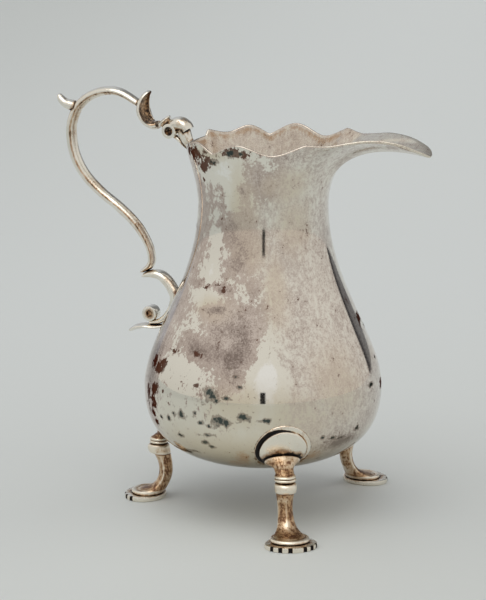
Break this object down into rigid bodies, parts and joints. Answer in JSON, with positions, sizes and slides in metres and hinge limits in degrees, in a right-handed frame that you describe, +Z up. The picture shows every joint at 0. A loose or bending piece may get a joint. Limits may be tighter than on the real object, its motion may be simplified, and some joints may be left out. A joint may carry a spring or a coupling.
{
  "type": "cream jug",
  "caption": "Small silver cream jug with a round belly, narrow neck, wavy cut rim, long drawn spout, scroll handle and cast legs on notched pad feet.",
  "frame": {"origin": "middle of the jug's outline seen from above, on the plane that its feet stand on", "axes": "+X towards the spout, -X towards the handle, +Z up"},
  "size_m": [0.1052, 0.0779, 0.1091],
  "materials": {
    "body_silver": "polished sterling silver, worn, with mottled tarnish",
    "leg_silver": "cast sterling silver, brown tarnish in the hollows",
    "pad_silver": "cast sterling silver, bright on its edge",
    "handle_silver": "cast sterling silver, bright, dark at the solder seams"
  },
  "bodies": {
    "root": {"body_shell": "body_silver", "front_leg_disc": "body_silver", "front_leg_collar": "leg_silver", "front_leg": "leg_silver", "front_foot_pad": "pad_silver", "side_leg_disc": "body_silver", "side_leg_collar": "leg_silver", "side_leg": "leg_silver", "side_foot_pad": "pad_silver", "rear_leg_disc": "body_silver", "rear_leg_collar": "leg_silver", "rear_leg": "leg_silver", "rear_foot_pad": "pad_silver", "handle_main_scroll": "handle_silver", "handle_spur": "handle_silver", "handle_leaf": "handle_silver", "handle_collar": "handle_silver", "handle_knuckle": "handle_silver", "handle_rim_bracket": "handle_silver", "handle_rim_strut": "handle_silver", "handle_lower_scroll": "handle_silver", "handle_tail_leaf": "handle_silver"}
  },
  "joints": []
}
